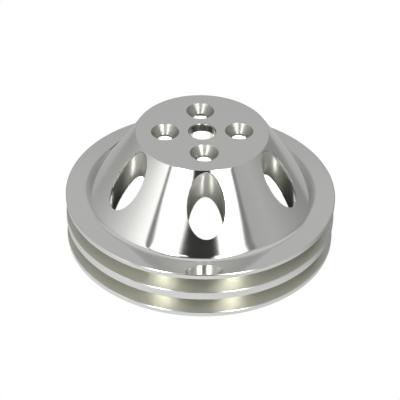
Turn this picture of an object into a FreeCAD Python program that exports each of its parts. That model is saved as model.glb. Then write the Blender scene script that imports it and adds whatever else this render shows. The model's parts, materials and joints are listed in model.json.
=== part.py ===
"""Double-groove V-belt pulley for an engine water pump.

One turned and bored billet of aluminium.  A flat round flange carries the pilot
bore and four countersunk screw holes, a conical skirt pierced by six windows
spreads out to the rim, and the rim carries two V-belt grooves.

Frame: millimetres.  Z is the axis of rotation, Z = 0 is the back face of the rim
and +Z points to the front face of the flange.  One screw hole and one window lie
on the -Y side.
"""
import FreeCAD, Part
import math
import os

import Sketcher

# Driving dimensions, in millimetres and degrees.
SIZES = [
    ("rim_diameter", 166.0),
    ("rim_width", 31.75),
    ("overall_height", 74.25),
    ("flange_diameter", 80.0),
    ("flange_thickness", 6.0),
    ("flange_edge_radius", 0.4),
    ("skirt_angle", 55.3),
    ("skirt_foot_radius", 4.5),
    ("rim_bore_diameter", 130.0),
    ("rim_bore_chamfer", 0.8),
    ("cavity_angle", 59.7),
    ("cavity_gauge_radius", 48.0),
    ("cavity_gauge_height", 43.4),
    ("hub_pocket_diameter", 77.0),
    ("hub_pocket_corner", 1.5),
    ("pilot_diameter", 15.875),
    ("pilot_front_chamfer", 0.5),
    ("pilot_back_chamfer", 0.8),
    ("bolt_circle", 44.45),
    ("bolt_count", 4),
    ("bolt_hole_diameter", 8.33),
    ("countersink_diameter", 16.8),
    ("countersink_angle", 82.0),
    ("window_count", 6),
    ("window_circle_radius", 51.6),
    ("window_diameter", 21.4),
    ("window_edge_break", 0.4),
    ("belt_groove_count", 2),
    ("belt_groove_pitch", 15.25),
    ("belt_groove_width", 10.1),
    ("belt_groove_depth", 11.0),
    ("belt_groove_angle", 36.0),
    ("belt_groove_root_radius", 0.8),
    ("end_land_width", 3.2),
    ("land_edge_break", 0.5),
]

OVERCUT = 2.0          # how far a cutting outline runs past the stock
EDGE_TOLERANCE = 0.01  # how closely an edge has to match to be picked
LEAST_CUT = 1.0        # cubic millimetres that every cut has to remove

doc = FreeCAD.newDocument("belt_pulley")


def make_sheet():
    """Write the driving dimensions to the spreadsheet, one alias a row."""
    sheet = doc.addObject("Spreadsheet::Sheet", "dims")
    for row, (name, value) in enumerate(SIZES, start=1):
        sheet.set(f"A{row}", name)
        sheet.set(f"B{row}", str(value))
        sheet.setAlias(f"B{row}", name)
    doc.recompute()
    return sheet


dims = make_sheet()


# Sketches

def origin_feature(body, role):
    """Return the body's own origin plane or axis with this role."""
    return next(f for f in body.Origin.OriginFeatures if f.Role == role)


def new_sketch(body, role, name):
    """Attach a sketch flat to one of the body's origin planes."""
    sketch = body.newObject("Sketcher::SketchObject", name)
    sketch.AttachmentSupport = [(origin_feature(body, role), "")]
    sketch.MapMode = "FlatFace"
    return sketch


def number(sketch, expression):
    """Work out an expression of sheet cells as a plain number."""
    return float(sketch.evalExpression(expression))


def bind(sketch, constraint, name, expression):
    """Add a constraint, name it and tie its value to a sheet expression."""
    sketch.renameConstraint(sketch.addConstraint(constraint), name)
    sketch.setExpression(f"Constraints.{name}", expression)


def bind_point(sketch, geometry, vertex, place, name):
    """Tie one point of the sketch to its pair of sheet expressions."""
    for kind, expression in zip(("DistanceX", "DistanceY"), place):
        value = number(sketch, expression)
        constraint = Sketcher.Constraint(kind, -1, 1, geometry, vertex, value)
        bind(sketch, constraint, f"{name}_{kind[-1].lower()}", expression)


def draw_outline(sketch, corners):
    """Draw a closed outline whose corners are pairs of sheet expressions."""
    points = [FreeCAD.Vector(number(sketch, x), number(sketch, y), 0) for x, y in corners]
    following = points[1:] + points[:1]
    for start, end in zip(points, following):
        sketch.addGeometry(Part.LineSegment(start, end), False)
    for line in range(len(corners)):
        after = (line + 1) % len(corners)
        sketch.addConstraint(Sketcher.Constraint("Coincident", line, 2, after, 1))
    for line, corner in enumerate(corners):
        bind_point(sketch, line, 1, corner, f"corner{line}")


def round_corner(sketch, corner, size):
    """Round one corner of a drawn outline with an arc of the given radius."""
    lines = (corner - 1, corner)
    middles = []
    for line in lines:
        edge = sketch.Geometry[line]
        middles.append((edge.StartPoint + edge.EndPoint) / 2)
    arc = sketch.GeometryCount
    sketch.fillet(*lines, *middles, number(sketch, size), True, True)
    radius = Sketcher.Constraint("Radius", arc, number(sketch, size))
    bind(sketch, radius, f"corner{corner}_radius", size)


def draw_circle(sketch, centre, diameter):
    """Draw one circle whose centre and diameter are sheet expressions."""
    place = FreeCAD.Vector(number(sketch, centre[0]), number(sketch, centre[1]), 0)
    up = FreeCAD.Vector(0, 0, 1)
    circle = sketch.addGeometry(Part.Circle(place, up, number(sketch, diameter) / 2), False)
    bind_point(sketch, circle, 3, centre, "centre")
    size = Sketcher.Constraint("Diameter", circle, number(sketch, diameter))
    bind(sketch, size, "diameter", diameter)


# Features

def revolve(body, kind, sketch, name):
    """Turn a sketch a full circle about the pulley's axis."""
    feature = body.newObject(kind, name)
    feature.Profile = sketch
    feature.ReferenceAxis = (origin_feature(body, "Z_Axis"), [""])
    feature.Angle = 360
    doc.recompute()
    return feature


def through_pocket(body, sketch, name):
    """Cut a sketch on the XY plane upwards through everything."""
    pocket = body.newObject("PartDesign::Pocket", name)
    pocket.Profile = sketch
    pocket.Type = "ThroughAll"
    pocket.Reversed = True
    doc.recompute()
    return pocket


def repeat_round_axis(body, feature, count, name):
    """Repeat a feature evenly round the pulley's axis."""
    pattern = body.newObject("PartDesign::PolarPattern", name)
    pattern.Originals = [feature]
    pattern.Axis = (origin_feature(body, "Z_Axis"), [""])
    pattern.Angle = 360
    pattern.setExpression("Occurrences", count)
    body.Tip = pattern
    doc.recompute()


def dress(body, kind, edges, size, name):
    """Fillet or chamfer the named edges of the body's present tip."""
    if not edges:
        raise RuntimeError(f"{name}: no edge matches")
    base = body.Tip
    feature = body.newObject(f"PartDesign::{kind}", name)
    feature.Base = (base, edges)
    feature.setExpression({"Fillet": "Radius", "Chamfer": "Size"}[kind], size)
    body.Tip = feature
    doc.recompute()


def rings(shape, radius, height):
    """Name the circular edges of this radius and height about the axis."""
    found = []
    for index, edge in enumerate(shape.Edges, start=1):
        curve = edge.Curve
        if not isinstance(curve, Part.Circle):
            continue
        misses = (math.hypot(curve.Center.x, curve.Center.y),
                  curve.Radius - radius, curve.Center.z - height)
        if all(abs(miss) < EDGE_TOLERANCE for miss in misses):
            found.append(f"Edge{index}")
    return found


def must_have_cut(body, before, name):
    """Stop if a cut took nothing away."""
    if body.Shape.Volume > before - LEAST_CUT:
        raise RuntimeError(f"{name} cut nothing")


# The pulley, in the order in which it is machined

def turn_outside(body):
    """Turn the rim, the conical skirt and the flange, with a round skirt foot."""
    sketch = new_sketch(body, "XZ_Plane", "stock_outline")
    skirt_foot = ("dims.flange_diameter / 2"
                  " + (dims.overall_height - dims.rim_width) / tan(dims.skirt_angle * 1 deg)")
    draw_outline(sketch, [
        ("0", "0"),
        ("dims.rim_diameter / 2", "0"),
        ("dims.rim_diameter / 2", "dims.rim_width"),
        (skirt_foot, "dims.rim_width"),
        ("dims.flange_diameter / 2", "dims.overall_height"),
        ("0", "dims.overall_height"),
    ])
    round_corner(sketch, 3, "dims.skirt_foot_radius")
    round_corner(sketch, 4, "dims.flange_edge_radius")
    revolve(body, "PartDesign::Revolution", sketch, "stock")


def bore_cavity(body):
    """Hollow the back: rim bore, cone under the skirt and pocket for the hub."""
    sketch = new_sketch(body, "XZ_Plane", "cavity_outline")

    def cone_height(radius):
        return (f"dims.cavity_gauge_height + (dims.cavity_gauge_radius - {radius})"
                " * tan(dims.cavity_angle * 1 deg)")

    rim_bore = "dims.rim_bore_diameter / 2"
    pocket = "dims.hub_pocket_diameter / 2"
    seat = "dims.overall_height - dims.flange_thickness"
    draw_outline(sketch, [
        ("0", "0"),
        (rim_bore, "0"),
        (rim_bore, cone_height(rim_bore)),
        (pocket, cone_height(pocket)),
        (pocket, seat),
        ("0", seat),
    ])
    round_corner(sketch, 4, "dims.hub_pocket_corner")
    before = body.Shape.Volume
    revolve(body, "PartDesign::Groove", sketch, "cavity")
    must_have_cut(body, before, "cavity")
    mouth = rings(body.Shape, dims.rim_bore_diameter / 2, 0.0)
    dress(body, "Chamfer", mouth, "dims.rim_bore_chamfer", "rim_bore_chamfer")


def turn_belt_grooves(body):
    """Turn the V groove nearest the back face, then repeat it towards the front."""
    sketch = new_sketch(body, "XZ_Plane", "belt_groove_outline")
    rim = "dims.rim_diameter / 2"
    slope = "tan(dims.belt_groove_angle / 2 * 1 deg)"
    centre = "dims.end_land_width + dims.belt_groove_width / 2"
    half_mouth = f"(dims.belt_groove_width / 2 + {OVERCUT} * {slope})"
    half_root = f"(dims.belt_groove_width / 2 - dims.belt_groove_depth * {slope})"
    draw_outline(sketch, [
        (f"{rim} + {OVERCUT}", f"{centre} - {half_mouth}"),
        (f"{rim} + {OVERCUT}", f"{centre} + {half_mouth}"),
        (f"{rim} - dims.belt_groove_depth", f"{centre} + {half_root}"),
        (f"{rim} - dims.belt_groove_depth", f"{centre} - {half_root}"),
    ])
    for corner in (2, 3):
        round_corner(sketch, corner, "dims.belt_groove_root_radius")
    before = body.Shape.Volume
    groove = revolve(body, "PartDesign::Groove", sketch, "belt_groove")
    must_have_cut(body, before, "belt groove")
    pattern = body.newObject("PartDesign::LinearPattern", "belt_grooves")
    pattern.Originals = [groove]
    pattern.Direction = (origin_feature(body, "Z_Axis"), [""])
    pattern.setExpression("Occurrences", "dims.belt_groove_count")
    pattern.setExpression("Length", "dims.belt_groove_pitch * (dims.belt_groove_count - 1)")
    body.Tip = pattern
    doc.recompute()
    break_land_edges(body)


def break_land_edges(body):
    """Chamfer every edge of the lands that stand between the belt grooves."""
    heights = [0.0, dims.rim_width]
    for groove in range(int(dims.belt_groove_count)):
        lower = dims.end_land_width + groove * dims.belt_groove_pitch
        heights += [lower, lower + dims.belt_groove_width]
    edges = [name for height in heights
             for name in rings(body.Shape, dims.rim_diameter / 2, height)]
    dress(body, "Chamfer", edges, "dims.land_edge_break", "land_edges")


def window_mouths(shape):
    """Name the edges where the window bores meet the outside of the skirt."""
    slope = math.tan(math.radians(dims.skirt_angle))
    found = []
    for index, edge in enumerate(shape.Edges, start=1):
        if isinstance(edge.Curve, (Part.Circle, Part.Line)):
            continue
        point = edge.discretize(3)[1]
        skirt_radius = dims.flange_diameter / 2 + (dims.overall_height - point.z) / slope
        if abs(math.hypot(point.x, point.y) - skirt_radius) < EDGE_TOLERANCE:
            found.append(f"Edge{index}")
    return found


def bore_windows(body):
    """Bore one window through the skirt, parallel to the axis, and repeat it."""
    sketch = new_sketch(body, "XY_Plane", "window_circle")
    draw_circle(sketch, ("0", "-dims.window_circle_radius"), "dims.window_diameter")
    before = body.Shape.Volume
    window = through_pocket(body, sketch, "window")
    must_have_cut(body, before, "window")
    repeat_round_axis(body, window, "dims.window_count", "windows")
    mouths = window_mouths(body.Shape)
    dress(body, "Chamfer", mouths, "dims.window_edge_break", "window_edges")


def bore_pilot(body):
    """Bore the centre of the flange and chamfer both its ends."""
    sketch = new_sketch(body, "XY_Plane", "pilot_circle")
    draw_circle(sketch, ("0", "0"), "dims.pilot_diameter")
    before = body.Shape.Volume
    through_pocket(body, sketch, "pilot_bore")
    must_have_cut(body, before, "pilot bore")
    radius = dims.pilot_diameter / 2
    front = rings(body.Shape, radius, dims.overall_height)
    dress(body, "Chamfer", front, "dims.pilot_front_chamfer", "pilot_front_chamfer")
    back = rings(body.Shape, radius, dims.overall_height - dims.flange_thickness)
    dress(body, "Chamfer", back, "dims.pilot_back_chamfer", "pilot_back_chamfer")


def drill_screw_holes(body):
    """Drill and countersink one screw hole in the flange, then repeat it."""
    sketch = new_sketch(body, "XY_Plane", "screw_hole_circle")
    sketch.setExpression("AttachmentOffset.Base.z", "dims.overall_height")
    draw_circle(sketch, ("0", "-dims.bolt_circle / 2"), "dims.bolt_hole_diameter")
    doc.recompute()
    before = body.Shape.Volume
    hole = body.newObject("PartDesign::Hole", "screw_hole")
    hole.Profile = sketch
    doc.recompute()
    hole.ThreadType = "None"
    hole.DepthType = "ThroughAll"
    hole.HoleCutType = "Countersink"
    hole.HoleCutCustomValues = True
    hole.setExpression("Diameter", "dims.bolt_hole_diameter")
    hole.setExpression("HoleCutDiameter", "dims.countersink_diameter")
    hole.setExpression("HoleCutCountersinkAngle", "dims.countersink_angle")
    doc.recompute()
    must_have_cut(body, before, "screw hole")
    repeat_round_axis(body, hole, "dims.bolt_count", "screw_holes")


def make_pulley():
    """Build the pulley as one body that sits at the frame's origin."""
    body = doc.addObject("PartDesign::Body", "pulley")
    body.Label = "pulley"
    body.Placement = FreeCAD.Placement()
    turn_outside(body)
    bore_cavity(body)
    turn_belt_grooves(body)
    bore_windows(body)
    bore_pilot(body)
    drill_screw_holes(body)
    return body


def check(parts):
    """Stop if any object failed or any part is not one valid solid."""
    for item in doc.Objects:
        if "Invalid" in item.State or "Error" in item.State:
            raise RuntimeError(f"{item.Name} failed: {item.State}")
    for part in parts:
        shape = part.Shape
        if shape.isNull() or not shape.isValid() or len(shape.Solids) != 1:
            raise RuntimeError(f"{part.Label} is not one valid solid")


def export(parts):
    """Write each part to its own STEP file and print its size."""
    os.makedirs("parts", exist_ok=True)
    for part in parts:
        part.Shape.exportStep(f"parts/{part.Label}.step")
        box = part.Shape.BoundBox
        print(f"{part.Label}: {part.Shape.Volume / 1000:.1f} cm3,"
              f" {box.XLength:.2f} x {box.YLength:.2f} x {box.ZLength:.2f} mm")


pulley = make_pulley()
doc.recompute()
check([pulley])
export([pulley])
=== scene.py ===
"""Looks of a turned and polished aluminium V-belt pulley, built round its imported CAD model."""
import json
import math
from collections import namedtuple

import bmesh
import bpy
import numpy as np
from mathutils import Matrix, Vector


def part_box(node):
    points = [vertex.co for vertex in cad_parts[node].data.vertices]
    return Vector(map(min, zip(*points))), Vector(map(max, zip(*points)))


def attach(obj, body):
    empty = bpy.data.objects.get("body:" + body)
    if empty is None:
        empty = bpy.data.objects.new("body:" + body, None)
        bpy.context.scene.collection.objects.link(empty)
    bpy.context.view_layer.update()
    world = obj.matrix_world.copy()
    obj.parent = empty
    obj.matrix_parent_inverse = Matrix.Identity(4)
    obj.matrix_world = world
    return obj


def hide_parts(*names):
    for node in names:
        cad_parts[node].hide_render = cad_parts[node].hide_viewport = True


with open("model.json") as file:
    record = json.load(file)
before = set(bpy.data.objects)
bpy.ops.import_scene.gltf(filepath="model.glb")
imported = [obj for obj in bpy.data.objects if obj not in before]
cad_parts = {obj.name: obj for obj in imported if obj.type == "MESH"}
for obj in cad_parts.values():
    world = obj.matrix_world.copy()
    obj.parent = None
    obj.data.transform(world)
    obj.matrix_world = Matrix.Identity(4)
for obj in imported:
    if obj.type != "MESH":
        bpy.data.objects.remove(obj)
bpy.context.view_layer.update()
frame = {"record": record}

MM = 0.001

# Sizes in millimetres. What the frame holds is read from it.

MOUNTS = {mount["name"]: mount for mount in frame["record"]["mounts"]}
NODE = "pulley"
RIM_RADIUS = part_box(NODE)[1].x / MM
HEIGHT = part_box(NODE)[1].z / MM
PILOT_RADIUS = MOUNTS["pilot_bore"]["dims"]["r_mm"]
SEAT_HEIGHT = MOUNTS["hub_seat"]["pos_m"][2] / MM
SCREW_COUNT = MOUNTS["flange_screws"]["dims"]["count"]
SCREW_CIRCLE = MOUNTS["flange_screws"]["dims"]["pcd_mm"] / 2
SCREW_HOLE_RADIUS = MOUNTS["flange_screws"]["dims"]["hole_r_mm"]
GROOVE_HEIGHTS = [MOUNTS[name]["pos_m"][2] / MM for name in ("front_belt_groove", "rear_belt_groove")]

RIM_WIDTH = 31.75
FLANGE_RADIUS = 40.0
FLANGE_EDGE = 0.4
SKIRT_SLOPE = math.tan(math.radians(55.3))
SKIRT_FOOT = 4.5
RIM_BORE = 65.0
CAVITY_SLOPE = math.tan(math.radians(59.7))
CAVITY_GAUGE = (48.0, 43.4)
POCKET_RADIUS = 38.5
POCKET_CORNER = 1.5
GROOVE_HALF_WIDTH = 5.05
GROOVE_DEPTH = 11.0
GROOVE_FLANK = math.tan(math.radians(18.0))
GROOVE_ROOT = 0.8
LAND_EDGE = 0.6
GROOVE_EDGE = 0.4
RIM_BORE_CHAMFER = 0.8
PILOT_FRONT_CHAMFER = 0.5
PILOT_BACK_CHAMFER = 0.8
COUNTERSINK_RADIUS = 8.4
COUNTERSINK_SLOPE = 1 / math.tan(math.radians(41.0))
WINDOW_COUNT = 6
WINDOW_CIRCLE = 51.6
WINDOW_RADIUS = 10.7
WINDOW_EDGE = 0.3

# Radii that stand in for corners that are sharp in the CAD model.
SMALL_EDGE = 0.12
PILOT_FRONT_EDGE = 0.05
PILOT_BACK_EDGE = 0.1
CAVITY_INNER_CORNER = 0.3
CAVITY_OUTER_CORNER = 0.5

# Holes and windows are spread round the axis from this angle.
FIRST_ANGLE = math.radians(-90.0)

# Mesh density: points round the axis, steps in a rounded corner, loops of points round a hole and how
# much they crowd towards it, steps along the sides of a hole's sector, and rows down a window's wall.
AROUND = 300
ARC_STEPS = 4
HOLE_LOOPS = 8
LOOP_CROWDING = 1.5
SIDE_STEPS = 20
WINDOW_ROWS = 4

# Points closer than this, in metres, are one. Faces that meet at more than this angle meet sharply.
WELD_DISTANCE = 2e-6
SHARP_ANGLE = math.radians(32)

SKIRT, FLANGE, RIM, GROOVE, BORED, CAVITY, COUNTERSINK, EDGE, PILOT = range(9)

Corner = namedtuple("Corner", "radius height rounding material")


# The section, as corners of the half outline. Each has the material of the side that follows it.

def skirt_height(radius):
    return HEIGHT - (radius - FLANGE_RADIUS) * SKIRT_SLOPE


def cavity_height(radius):
    return CAVITY_GAUGE[1] + (CAVITY_GAUGE[0] - radius) * CAVITY_SLOPE


def groove_corners():
    """Lands and V grooves of the rim, from the top down."""
    root_half = GROOVE_HALF_WIDTH - GROOVE_DEPTH * GROOVE_FLANK
    root = RIM_RADIUS - GROOVE_DEPTH
    corners = []
    for height in GROOVE_HEIGHTS:
        corners += [
            Corner(RIM_RADIUS, height + GROOVE_HALF_WIDTH, GROOVE_EDGE, GROOVE),
            Corner(root, height + root_half, GROOVE_ROOT, GROOVE),
            Corner(root, height - root_half, GROOVE_ROOT, GROOVE),
            Corner(RIM_RADIUS, height - GROOVE_HALF_WIDTH, GROOVE_EDGE, RIM),
        ]
    return corners


def section():
    """All corners of the section, once round from the top of the pilot bore."""
    foot = FLANGE_RADIUS + (HEIGHT - RIM_WIDTH) / SKIRT_SLOPE
    return [
        Corner(PILOT_RADIUS + PILOT_FRONT_CHAMFER, HEIGHT, PILOT_FRONT_EDGE, FLANGE),
        Corner(FLANGE_RADIUS, HEIGHT, FLANGE_EDGE, SKIRT),
        Corner(foot, RIM_WIDTH, SKIRT_FOOT, RIM),
        Corner(RIM_RADIUS, RIM_WIDTH, LAND_EDGE, RIM),
        *groove_corners(),
        Corner(RIM_RADIUS, 0.0, LAND_EDGE, RIM),
        Corner(RIM_BORE + RIM_BORE_CHAMFER, 0.0, SMALL_EDGE, BORED),
        Corner(RIM_BORE, RIM_BORE_CHAMFER, SMALL_EDGE, BORED),
        Corner(RIM_BORE, cavity_height(RIM_BORE), CAVITY_OUTER_CORNER, CAVITY),
        Corner(POCKET_RADIUS, cavity_height(POCKET_RADIUS), CAVITY_INNER_CORNER, BORED),
        Corner(POCKET_RADIUS, SEAT_HEIGHT, POCKET_CORNER, BORED),
        Corner(PILOT_RADIUS + PILOT_BACK_CHAMFER, SEAT_HEIGHT, PILOT_BACK_EDGE, BORED),
        Corner(PILOT_RADIUS, SEAT_HEIGHT + PILOT_BACK_CHAMFER, PILOT_BACK_EDGE, PILOT),
        Corner(PILOT_RADIUS, HEIGHT - PILOT_FRONT_CHAMFER, PILOT_FRONT_EDGE, PILOT),
    ]


def rounded(before, corner, after):
    """Points of the arc that replaces a corner, from one side of it to the other."""
    here = np.array(corner[:2])
    back = np.array(before[:2]) - here
    ahead = np.array(after[:2]) - here
    back /= np.linalg.norm(back)
    ahead /= np.linalg.norm(ahead)
    half = math.acos(back @ ahead) / 2
    start = here + back * corner.rounding / math.tan(half)
    end = here + ahead * corner.rounding / math.tan(half)
    centre = here + (back + ahead) / np.linalg.norm(back + ahead) * corner.rounding / math.sin(half)
    first, last = start - centre, end - centre
    turn = math.pi - 2 * half
    count = ARC_STEPS + 2 * int(corner.rounding)
    return [centre + (math.sin(turn - t) * first + math.sin(t) * last) / math.sin(turn)
            for t in np.linspace(0, turn, count + 1)]


# The mesh

class Surface:
    """Collects points and faces in millimetres, each face with its material and texture coordinates."""

    def __init__(self):
        self.points = []
        self.faces = []
        self.materials = []
        self.texture = []

    def grid(self, rows, material):
        """Join closed rows of points, all equally long, by quads. U runs along the rows."""
        width = len(rows[0])
        base = len(self.points)
        for row in rows:
            self.points.extend(map(tuple, row))
        for j in range(len(rows) - 1):
            low, high = base + j * width, base + (j + 1) * width
            v, v_next = j / (len(rows) - 1), (j + 1) / (len(rows) - 1)
            for i in range(width):
                after = (i + 1) % width
                u, u_next = i / width, (i + 1) / width
                self.faces.append((low + i, low + after, high + after, high + i))
                self.materials.append(material)
                self.texture += [u, v, u_next, v, u_next, v_next, u, v_next]

    def revolve(self, outline, material):
        """Turn an outline of (radius, height) points about the axis."""
        angles = FIRST_ANGLE + np.arange(AROUND) * 2 * math.pi / AROUND
        rows = [np.column_stack([r * np.cos(angles), r * np.sin(angles), np.full(AROUND, z)])
                for r, z in outline]
        self.grid(rows, material)


def directions(angles):
    return np.column_stack([np.cos(angles), np.sin(angles)])


def lifted(flat, height):
    """Raise top-view points to the height of a surface that depends only on the radius."""
    return np.column_stack([flat, [height(radius) for radius in np.hypot(flat[:, 0], flat[:, 1])]])


def sector_edge(inner, outer, middle, count):
    """Top-view points round one sector of a ring, anticlockwise from its outer first corner."""
    arc_steps = AROUND // count
    turns = middle + np.linspace(-math.pi / count, math.pi / count, arc_steps + 1)
    radii = np.linspace(outer, inner, SIDE_STEPS + 1)
    return np.concatenate([
        outer * directions(turns[:-1]),
        radii[:-1, None] * directions(np.full(SIDE_STEPS, turns[-1])),
        inner * directions(turns[:0:-1]),
        radii[:0:-1, None] * directions(np.full(SIDE_STEPS, turns[0])),
    ])


Mouth = namedtuple("Mouth", "centre middle bearing points")


def pierced_ring(surface, inner, outer, height, count, circle, rim, material):
    """Fill a ring that has a hole in the middle of each sector. Returns the mouths of the holes.

    rim gives a mouth's radius for a bearing from the hole's centre, 0 being away from the axis.
    """
    mouths = []
    for number in range(count):
        middle = FIRST_ANGLE + number * 2 * math.pi / count
        centre = circle * directions(np.array([middle]))[0]
        edge = sector_edge(inner, outer, middle, count)
        bearing = np.arctan2(edge[:, 1] - centre[1], edge[:, 0] - centre[0]) - middle
        out = directions(bearing + middle)
        points = centre + out * rim(bearing)[:, None]
        shares = np.linspace(0, 1, HOLE_LOOPS + 1) ** LOOP_CROWDING
        surface.grid([lifted(points + (edge - points) * share, height) for share in shares], material)
        mouths.append(Mouth(centre, middle, bearing, points))
    return mouths


def lip(surface, mouth, radius, height, drop, material, bulge=1.0):
    """Break the edge between a surface and a hole's upright wall. Returns the points on the wall.

    drop gives how far down the wall the edge reaches, and is negative where it reaches up. bulge is 1 for
    a round edge and 0 for a flat bevel.
    """
    out = directions(mouth.bearing + mouth.middle)
    start = lifted(mouth.points, height)
    corner = lifted(mouth.centre + out * radius, height)
    end = corner - np.column_stack([np.zeros((len(out), 2)), drop(mouth.bearing)])
    pull = bulge * corner + (1 - bulge) * (start + end) / 2
    shares = np.linspace(0, 1, ARC_STEPS + 1)
    rows = [(1 - t) ** 2 * start + 2 * t * (1 - t) * pull + t ** 2 * end for t in shares]
    surface.grid(rows, material)
    return end


def hole_wall(surface, centre, top, bottom, material, rows=2):
    """Join two closed rows of points round a hole, each at its own radius."""
    def polar(points):
        offset = points[:, :2] - centre
        return np.unwrap(np.arctan2(offset[:, 1], offset[:, 0])), np.hypot(*offset.T), points[:, 2]
    upper, lower = polar(top), polar(bottom)
    turns = round((upper[0].mean() - lower[0].mean()) / (2 * math.pi))
    lower = (lower[0] + turns * 2 * math.pi, *lower[1:])
    rings = []
    for t in np.linspace(0, 1, rows + 1):
        angle, radius, height = ((1 - t) * a + t * b for a, b in zip(upper, lower))
        rings.append(np.column_stack([centre + directions(angle) * radius[:, None], height]))
    surface.grid(rings, material)


def everywhere(value):
    """The same value for every bearing round a hole."""
    return lambda bearing: np.full(len(bearing), value)


def uneven(bearing, sides, foot):
    """1 at the point of a window nearest the flange, and more at its sides and its foot."""
    return 1 + sides * np.sin(bearing) ** 2 + foot * (1 + np.cos(bearing)) / 2


def window_mouth(bearing):
    """Radius of a window's mouth, which its broken edge widens."""
    return WINDOW_RADIUS + WINDOW_EDGE * uneven(bearing, sides=0.9, foot=0.6)


def window_drop(bearing):
    """How far down the wall the broken edge reaches."""
    return WINDOW_EDGE * uneven(bearing, sides=5.5, foot=6)


def windows(surface, skirt_span, cavity_span):
    """Skirt, cavity cone and the six windows through both."""
    outer = pierced_ring(surface, *skirt_span, skirt_height, WINDOW_COUNT, WINDOW_CIRCLE,
                         window_mouth, SKIRT)
    inner = pierced_ring(surface, *cavity_span, cavity_height, WINDOW_COUNT, WINDOW_CIRCLE,
                         everywhere(WINDOW_RADIUS + SMALL_EDGE), CAVITY)
    for front, back in zip(outer, inner):
        top = lip(surface, front, WINDOW_RADIUS, skirt_height, window_drop, EDGE, bulge=0.3)
        bottom = lip(surface, back, WINDOW_RADIUS, cavity_height, everywhere(-2 * SMALL_EDGE), BORED)
        hole_wall(surface, front.centre, top, bottom, BORED, WINDOW_ROWS)


def level(mouth, radius, height):
    """Points round a hole at one radius and one height."""
    flat = mouth.centre + directions(mouth.bearing + mouth.middle) * radius
    return np.column_stack([flat, np.full(len(flat), height)])


def screw_holes(surface, flange_span, seat_span):
    """Flange face, hub seat and the countersunk screw holes through both."""
    fronts = pierced_ring(surface, *flange_span, lambda radius: HEIGHT, SCREW_COUNT, SCREW_CIRCLE,
                          everywhere(COUNTERSINK_RADIUS + SMALL_EDGE), FLANGE)
    backs = pierced_ring(surface, *seat_span, lambda radius: SEAT_HEIGHT, SCREW_COUNT, SCREW_CIRCLE,
                         everywhere(SCREW_HOLE_RADIUS), CAVITY)
    throat = HEIGHT - (COUNTERSINK_RADIUS - SCREW_HOLE_RADIUS) * COUNTERSINK_SLOPE
    shoulder_height = HEIGHT - 2 * SMALL_EDGE * COUNTERSINK_SLOPE
    for front, back in zip(fronts, backs):
        mouth = level(front, COUNTERSINK_RADIUS + SMALL_EDGE, HEIGHT)
        shoulder = level(front, COUNTERSINK_RADIUS - SMALL_EDGE, shoulder_height)
        neck = level(front, SCREW_HOLE_RADIUS, throat)
        hole_wall(surface, front.centre, mouth, shoulder, COUNTERSINK)
        hole_wall(surface, front.centre, shoulder, neck, COUNTERSINK)
        hole_wall(surface, front.centre, neck, level(back, SCREW_HOLE_RADIUS, SEAT_HEIGHT), BORED)


def build_surface():
    """The whole skin of the pulley."""
    surface = Surface()
    corners = section()
    arcs = [rounded(corners[i - 1], corner, corners[(i + 1) % len(corners)])
            for i, corner in enumerate(corners)]
    cavity = next(i for i, corner in enumerate(corners) if corner.material == CAVITY)
    pierced = {0: "flange", 1: "skirt", cavity: "cavity", cavity + 2: "seat"}
    spans = {}
    for i, corner in enumerate(corners):
        surface.revolve(arcs[i], corner.material)
        start, end = arcs[i][-1], arcs[(i + 1) % len(corners)][0]
        if i in pierced:
            spans[pierced[i]] = sorted((start[0], end[0]))
        else:
            surface.revolve([start, (start + end) / 2, end], corner.material)
    windows(surface, spans["skirt"], spans["cavity"])
    screw_holes(surface, spans["flange"], spans["seat"])
    return surface


def make_mesh(name, surface, materials):
    mesh = bpy.data.meshes.new(name)
    mesh.from_pydata([Vector(point) * MM for point in surface.points], [], surface.faces)
    for material in materials:
        mesh.materials.append(material)
    mesh.polygons.foreach_set("material_index", surface.materials)
    mesh.uv_layers.new(name="along_marks").uv.foreach_set("vector", surface.texture)
    welded = bmesh.new()
    welded.from_mesh(mesh)
    bmesh.ops.remove_doubles(welded, verts=welded.verts, dist=WELD_DISTANCE)
    bmesh.ops.recalc_face_normals(welded, faces=welded.faces)
    welded.to_mesh(mesh)
    welded.free()
    mesh.polygons.foreach_set("use_smooth", [True] * len(mesh.polygons))
    mesh.set_sharp_from_angle(angle=SHARP_ANGLE)
    piece = bpy.data.objects.new(name, mesh)
    bpy.context.scene.collection.objects.link(piece)
    piece.modifiers.new("even_normals", "WEIGHTED_NORMAL").keep_sharp = True
    return piece


# Materials

# Soft clouds vary the metals besides the tool marks: how many in a metre, their share of the variation,
# and how far the colour varies either way.
CLOUDS = 60.0
CLOUD_SHARE = 0.35
TINT_VARIATION = 0.03


def node_material(name):
    material = bpy.data.materials.new(name)
    material.use_nodes = True
    return material, material.node_tree.nodes, material.node_tree.links


def marks_across(nodes, links, turned):
    """Coordinates that change only across the tool marks: radius and height, or height alone in bores."""
    place = nodes.new("ShaderNodeTexCoord").outputs["Object"]
    parts = nodes.new("ShaderNodeSeparateXYZ")
    links.new(place, parts.inputs["Vector"])
    across = nodes.new("ShaderNodeCombineXYZ")
    links.new(parts.outputs["Z"], across.inputs["Y"])
    if turned:
        flat = nodes.new("ShaderNodeCombineXYZ")
        links.new(parts.outputs["X"], flat.inputs["X"])
        links.new(parts.outputs["Y"], flat.inputs["Y"])
        radius = nodes.new("ShaderNodeVectorMath")
        radius.operation = "LENGTH"
        links.new(flat.outputs["Vector"], radius.inputs[0])
        links.new(radius.outputs["Value"], across.inputs["X"])
    return place, across.outputs["Vector"]


def noise(nodes, links, vector, scale, detail):
    texture = nodes.new("ShaderNodeTexNoise")
    texture.inputs["Scale"].default_value = scale
    texture.inputs["Detail"].default_value = detail
    links.new(vector, texture.inputs["Vector"])
    return texture.outputs["Fac"]


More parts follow.
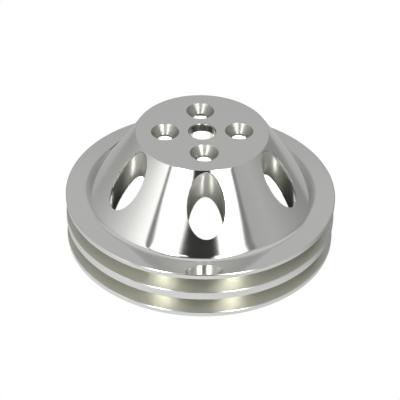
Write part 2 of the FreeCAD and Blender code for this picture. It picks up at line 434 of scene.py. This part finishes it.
def tangent_along_marks(nodes, turned):
    tangent = nodes.new("ShaderNodeTangent")
    if turned:
        tangent.direction_type = "RADIAL"
        tangent.axis = "Z"
    else:
        tangent.direction_type = "UV_MAP"
        tangent.uv_map = "along_marks"
    return tangent.outputs["Tangent"]


def marks_and_clouds(nodes, links, marks, clouds):
    blend = nodes.new("ShaderNodeMix")
    blend.inputs["Factor"].default_value = CLOUD_SHARE
    links.new(marks, blend.inputs["A"])
    links.new(clouds, blend.inputs["B"])
    return blend.outputs["Result"]


def varied_roughness(nodes, links, pattern, roughness, variation):
    """Roughness that follows a noise pattern, which keeps mostly between the two From values."""
    spread = nodes.new("ShaderNodeMapRange")
    spread.inputs["From Min"].default_value = 0.3
    spread.inputs["From Max"].default_value = 0.7
    spread.inputs["To Min"].default_value = roughness * (1 - variation)
    spread.inputs["To Max"].default_value = roughness * (1 + variation)
    links.new(pattern, spread.inputs["Value"])
    return spread.outputs["Result"]


def varied_colour(nodes, links, pattern, colour):
    tint = nodes.new("ShaderNodeMix")
    tint.data_type = "RGBA"
    tint.inputs["A"].default_value = (*[(1 - TINT_VARIATION) * value for value in colour], 1.0)
    tint.inputs["B"].default_value = (*[(1 + TINT_VARIATION) * value for value in colour], 1.0)
    links.new(pattern, tint.inputs["Factor"])
    return tint.outputs["Result"]


def bumps(nodes, links, height, depth):
    bump = nodes.new("ShaderNodeBump")
    bump.inputs["Distance"].default_value = depth
    links.new(height, bump.inputs["Height"])
    return bump.outputs["Normal"]


def machined_metal(name, colour, roughness, anisotropy, marks, mark_depth, turned=True, variation=0.15):
    """Aluminium with tool marks, as many in a metre as marks says and mark_depth metres deep.

    Turned faces have their marks round the pulley's axis, and bores round their own.
    """
    material, nodes, links = node_material(name)
    shader = nodes["Principled BSDF"]
    shader.inputs["Metallic"].default_value = 1.0
    shader.inputs["Anisotropic"].default_value = anisotropy
    shader.inputs["Anisotropic Rotation"].default_value = 0.25
    place, across = marks_across(nodes, links, turned)
    fine = noise(nodes, links, across, marks, 4.0)
    cloud = noise(nodes, links, place, CLOUDS, 3.0)
    pattern = marks_and_clouds(nodes, links, fine, cloud)
    links.new(tangent_along_marks(nodes, turned), shader.inputs["Tangent"])
    links.new(varied_roughness(nodes, links, pattern, roughness, variation), shader.inputs["Roughness"])
    links.new(varied_colour(nodes, links, pattern, colour), shader.inputs["Base Color"])
    links.new(bumps(nodes, links, fine, mark_depth), shader.inputs["Normal"])
    return material


def pulley_materials():
    """In the order of SKIRT, FLANGE, RIM, GROOVE, BORED, CAVITY, COUNTERSINK, EDGE and PILOT."""
    polished = (0.76, 0.765, 0.74)
    plain = (0.72, 0.73, 0.665)
    groove = (0.61, 0.608, 0.551)
    bored = (0.56, 0.56, 0.51)
    # This grey is painted shade in the screw holes' hollows: it is darker than the metal's own colour.
    shaded_grey = (0.42, 0.42, 0.38)
    # This dark colour is painted shade in the window edges and the pilot bore, not a darker metal.
    dark = (0.30, 0.30, 0.28)
    return [
        machined_metal("polished_skirt", polished, 0.09, 0.5, 900.0, 1.5e-6),
        machined_metal("satin_flange", polished, 0.22, 0.5, 1100.0, 3e-6),
        machined_metal("polished_rim", polished, 0.07, 0.3, 1100.0, 1.5e-6),
        machined_metal("turned_groove", groove, 0.28, 0.8, 1500.0, 4e-6, variation=0.03),
        machined_metal("bored_wall", bored, 0.33, 0.7, 1300.0, 4e-6, turned=False),
        machined_metal("turned_cavity", plain, 0.34, 0.8, 1300.0, 4e-6),
        # The countersinks take the grey of painted shade.
        machined_metal("countersink", shaded_grey, 0.45, 0.6, 1300.0, 4e-6, turned=False),
        # The window edges and the pilot bore take the dark colour of painted shade.
        machined_metal("broken_edge", dark, 0.6, 0.0, 1300.0, 4e-6, turned=False),
        machined_metal("pilot_bore", dark, 0.35, 0.7, 1300.0, 4e-6, turned=False),
    ]


def make_pulley():
    piece = make_mesh("turned_pulley", build_surface(), pulley_materials())
    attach(piece, "root")
    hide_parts(NODE)


# Studio

# The camera's azimuth is in degrees from the X axis. The others are from the camera's, and grow towards
# the right of the picture.
CAMERA_AZIMUTH = -93.9
CAMERA_ELEVATION = 37.139
CAMERA_ROLL = 1.539
CAMERA_DISTANCE = 0.853
CAMERA_LENS = 123.5
CAMERA_SENSOR = 36.0
AIM_SIDE = -0.00022
AIM_HEIGHT = 0.02262
TENT_RADIUS = 1.5

# Just below the pulley, so that no faces coincide. In metres.
TABLE_HEIGHT = -0.0005
FLOOR_HEIGHT = -0.001

# Glow of the walls by azimuth, of the ceiling by elevation, and of the table by azimuth.
WALLS = [(-180, 0.40), (-155, 0.36), (-140, 0.38), (-126, 0.42), (-105, 0.53), (-90, 0.64), (-75, 0.84),
         (-60, 1.2), (-53, 1.35), (-45, 0.0), (48, 0.0), (55, 0.48), (75, 0.51), (90, 0.45), (105, 0.38),
         (126, 0.31), (140, 0.34), (155, 0.38), (180, 0.40)]
CEILING = [(30, 0.52), (34, 0.50), (37, 0.56), (42, 0.56), (57, 0.45), (62, 0.47), (70, 0.58),
           (80, 0.82), (90, 0.95)]
TABLE = [(-180, 0.20), (-140, 0.14), (-120, 0.38), (-100, 0.56), (-80, 0.66), (-60, 0.76), (-40, 0.83),
         (0, 0.83), (40, 0.74), (60, 0.62), (80, 0.33), (120, 0.30), (140, 0.20), (180, 0.24)]

# Except behind the pulley, the ceiling glows at least this much.
CEILING_LEAST = 0.68

# Glow of the dark opening at the camera and its gain towards its sides, and of a lamp and its gain
# towards its brightest line.
OPENING_GLOW = 0.04
OPENING_GAIN = 0.20
LAMP_GLOW = 1.5
LAMP_CORE_GAIN = 13.0

# Edges of a lamp by elevation, in degrees to the side of the camera, and the elevation of its top. The two
# lamps differ a little.
LAMP_INNER_LEFT = [(25, 24), (29, 19), (33, 12)]
LAMP_INNER_RIGHT = [(25, 24), (29, 20), (33, 15), (45, 17)]
LAMP_OUTER = [(23, 42), (28, 48.5)]
LAMP_TOP_LEFT = 52
LAMP_TOP_RIGHT = 62

# Glow of the table in the shadow under the pulley, the gain of two bright patches there, and the table's
# least glow a little way off.
SHADOW_GLOW = 0.02
PATCH_GAIN = 4.5
TABLE_LEAST = 0.5

# Where the table's glow changes, as spans of radius in metres.
SHADOW_EDGE = (0.066, 0.083)
RING_SPAN = (0.11, 0.145)
WALL_SPAN = (0.25, 0.4)
RIGHT_PATCH_EDGE = (0.05, 0.055)
BACK_PATCH_EDGE = (0.012, 0.02)

# Azimuths of the middles of the bright patches.
RIGHT_PATCH = 137
BACK_PATCH = -164


def along(table, x):
    return float(np.interp(x, *zip(*table)))


def ramp(x, start, end):
    """0 at start and 1 at end, with a smooth step between. Start may be the larger."""
    t = min(1.0, max(0.0, (x - start) / (end - start)))
    return t * t * (3 - 2 * t)


def off(azimuth, middle):
    """Angle in degrees between two azimuths."""
    return abs((azimuth - middle + 180) % 360 - 180)


def between(value, other, share):
    """value where share is 0 and other where it is 1."""
    return value + (other - value) * share


def tent_walls(azimuth, elevation):
    """Radiance of the walls and the ceiling. Behind the pulley the ceiling comes down lower."""
    back = ramp(abs(azimuth), 120, 150)
    ceiling = along(CEILING, elevation)
    ceiling = between(ceiling, max(ceiling, CEILING_LEAST), 1 - back)
    height = max(ramp(elevation, 38, 48), back * ramp(elevation, 20, 34))
    return between(along(WALLS, azimuth), ceiling, height)


def lamp_share(azimuth, elevation):
    """1 inside the two lamps and 0 outside them, with soft edges. They are wider at the top."""
    side = abs(azimuth)
    inner = along(LAMP_INNER_LEFT if azimuth < 0 else LAMP_INNER_RIGHT, elevation)
    outer = along(LAMP_OUTER, elevation)
    top = LAMP_TOP_LEFT if azimuth < 0 else LAMP_TOP_RIGHT
    width = ramp(side, inner - 1, inner + 1) * ramp(side, outer + 1, outer - 1)
    return width * ramp(elevation, top + 8, top - 8)


def tent_glow(azimuth, elevation):
    """Radiance of the light tent, with a dark opening at the camera and a lamp on each side of it."""
    side = abs(azimuth)
    dark = OPENING_GLOW + OPENING_GAIN * ramp(side, 20, 40)
    bright = LAMP_GLOW + LAMP_CORE_GAIN * ramp(off(side, 30), 10, 2)
    opening = ramp(side, 53.5, 51) * ramp(elevation, 84, 58)
    glow = between(tent_walls(azimuth, elevation), dark, opening)
    return between(glow, bright, lamp_share(azimuth, elevation))


def table_glow(azimuth, radius):
    """Radiance of the table as the pulley mirrors it: pale round the pulley and in shadow under it.

    The inner walls that the camera sees through the holes mirror the two bright patches in the shadow.
    """
    table = along(TABLE, azimuth)
    table = between(table, max(table, TABLE_LEAST), ramp(radius, *RING_SPAN))
    table = between(table, along(WALLS, azimuth), ramp(radius, *WALL_SPAN))
    right = ramp(off(azimuth, RIGHT_PATCH), 16, 9) * ramp(radius, *RIGHT_PATCH_EDGE)
    behind = ramp(off(azimuth, BACK_PATCH), 40, 28) * ramp(radius, *BACK_PATCH_EDGE)
    return between(SHADOW_GLOW + PATCH_GAIN * max(right, behind), table, ramp(radius, *SHADOW_EDGE))


def glowing(name, points, faces, glows):
    """A mesh that shines as strongly as glows says at each point. The camera does not see it."""
    mesh = bpy.data.meshes.new(name)
    mesh.from_pydata(points, [], faces)
    mesh.attributes.new("glow", "FLOAT", "POINT").data.foreach_set("value", glows)
    material, nodes, links = node_material(name)
    nodes.remove(nodes["Principled BSDF"])
    strength = nodes.new("ShaderNodeAttribute")
    strength.attribute_name = "glow"
    light = nodes.new("ShaderNodeEmission")
    links.new(strength.outputs["Fac"], light.inputs["Strength"])
    links.new(light.outputs["Emission"], nodes["Material Output"].inputs["Surface"])
    mesh.materials.append(material)
    piece = bpy.data.objects.new(name, mesh)
    piece.visible_camera = False
    bpy.context.scene.collection.objects.link(piece)


def sky_point(azimuth, elevation, distance):
    """Point in the direction of an azimuth from the camera's and an elevation, both in degrees."""
    turn = math.radians(CAMERA_AZIMUTH + azimuth)
    lift = math.radians(elevation)
    flat = math.cos(lift)
    return Vector((math.cos(turn) * flat, math.sin(turn) * flat, math.sin(lift))) * distance


def quads(rows, width):
    return [(j * width + i, j * width + i + 1, (j + 1) * width + i + 1, (j + 1) * width + i)
            for j in range(rows - 1) for i in range(width - 1)]


def make_tent():
    azimuths = np.arange(-180, 181, 1.0)
    elevations = np.arange(-6, 91, 1.0)
    points = [sky_point(a, e, TENT_RADIUS) for e in elevations for a in azimuths]
    glows = [tent_glow(a, e) for e in elevations for a in azimuths]
    glowing("light_tent", points, quads(len(elevations), len(azimuths)), glows)


def make_table():
    """The table's light, with rows of points closer together where the glow changes."""
    azimuths = np.arange(-180, 181, 3.0)
    radii = [0.0, 0.012, 0.016, 0.02, 0.05, 0.055, 0.066, 0.07, 0.074, 0.078, 0.083,
             0.11, 0.12, 0.13, 0.145, 0.25, 0.3, 0.35, 0.4, 1.0, TENT_RADIUS]
    drop = Vector((0, 0, TABLE_HEIGHT))
    points = [sky_point(a, 0, r) + drop for r in radii for a in azimuths]
    glows = [table_glow(a, r) for r in radii for a in azimuths]
    glowing("table_light", points, quads(len(radii), len(azimuths)), glows)


def make_floor():
    """The white floor that the camera sees. It gives no light: the table does."""
    half = 4.0
    mesh = bpy.data.meshes.new("floor")
    corners = [(-half, -half, 0), (half, -half, 0), (half, half, 0), (-half, half, 0)]
    mesh.from_pydata(corners, [], [(0, 1, 2, 3)])
    material, nodes, links = node_material("floor_white")
    nodes.remove(nodes["Principled BSDF"])
    white = nodes.new("ShaderNodeEmission")
    links.new(white.outputs["Emission"], nodes["Material Output"].inputs["Surface"])
    mesh.materials.append(material)
    floor = bpy.data.objects.new("floor", mesh)
    floor.location.z = FLOOR_HEIGHT
    for ray in ("diffuse", "glossy", "transmission", "volume_scatter", "shadow"):
        setattr(floor, "visible_" + ray, False)
    bpy.context.scene.collection.objects.link(floor)


def make_background():
    world = bpy.data.worlds.new("studio")
    world.use_nodes = True
    world.node_tree.nodes["Background"].inputs["Color"].default_value = (1.0, 1.0, 1.0, 1.0)
    bpy.context.scene.world = world


def make_camera():
    turn = math.radians(CAMERA_AZIMUTH)
    right = Vector((-math.sin(turn), math.cos(turn), 0))
    back = sky_point(0, CAMERA_ELEVATION, 1.0)
    up = back.cross(right)
    roll = math.radians(CAMERA_ROLL)
    tilted_right = math.cos(roll) * right + math.sin(roll) * up
    tilted_up = math.cos(roll) * up - math.sin(roll) * right
    aim = right * AIM_SIDE + Vector((0, 0, AIM_HEIGHT))
    place = Matrix((tilted_right, tilted_up, back)).transposed().to_4x4()
    place.translation = aim + back * CAMERA_DISTANCE
    lens = bpy.data.cameras.new("camera")
    lens.lens = CAMERA_LENS
    lens.sensor_width = CAMERA_SENSOR
    lens.clip_start = 0.05
    camera = bpy.data.objects.new("camera", lens)
    camera.matrix_world = place
    bpy.context.scene.collection.objects.link(camera)
    bpy.context.scene.camera = camera


make_pulley()
make_tent()
make_table()
make_floor()
make_background()
make_camera()
bpy.context.scene.view_settings.view_transform = "Standard"
